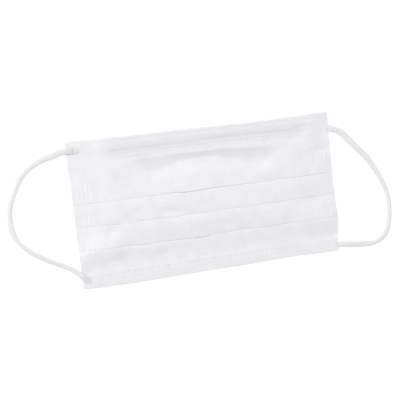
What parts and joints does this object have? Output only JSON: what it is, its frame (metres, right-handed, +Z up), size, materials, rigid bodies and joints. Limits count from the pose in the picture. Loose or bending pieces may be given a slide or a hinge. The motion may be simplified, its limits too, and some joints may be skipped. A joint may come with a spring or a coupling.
{
  "type": "surgical face mask",
  "caption": "Flat pleated face mask of white non-woven cloth, with a nose wire in its top hem and elastic ear loops welded on at its corners.",
  "frame": {"origin": "on the surface that the mask lies on, under the middle of its folded panel", "axes": "+X along the panel's long side, +Y towards its nose-wire edge, +Z up, out of its front face"},
  "size_m": [0.2606, 0.0965, 0.0062],
  "materials": {
    "nonwoven_cloth": "matt, fine bonded fibres",
    "knitted_elastic": "matt, ribbed knit",
    "welded_elastic": "pressed, slightly glossy",
    "wire_coating": "satin"
  },
  "bodies": {
    "root": {"mask_body": "nonwoven_cloth", "nose_wire": "wire_coating", "ear_loop_left": "knitted_elastic", "ear_loop_right": "knitted_elastic", "loop_weld_left_top": "welded_elastic", "loop_weld_left_bottom": "welded_elastic", "loop_weld_right_top": "welded_elastic", "loop_weld_right_bottom": "welded_elastic"}
  },
  "joints": []
}
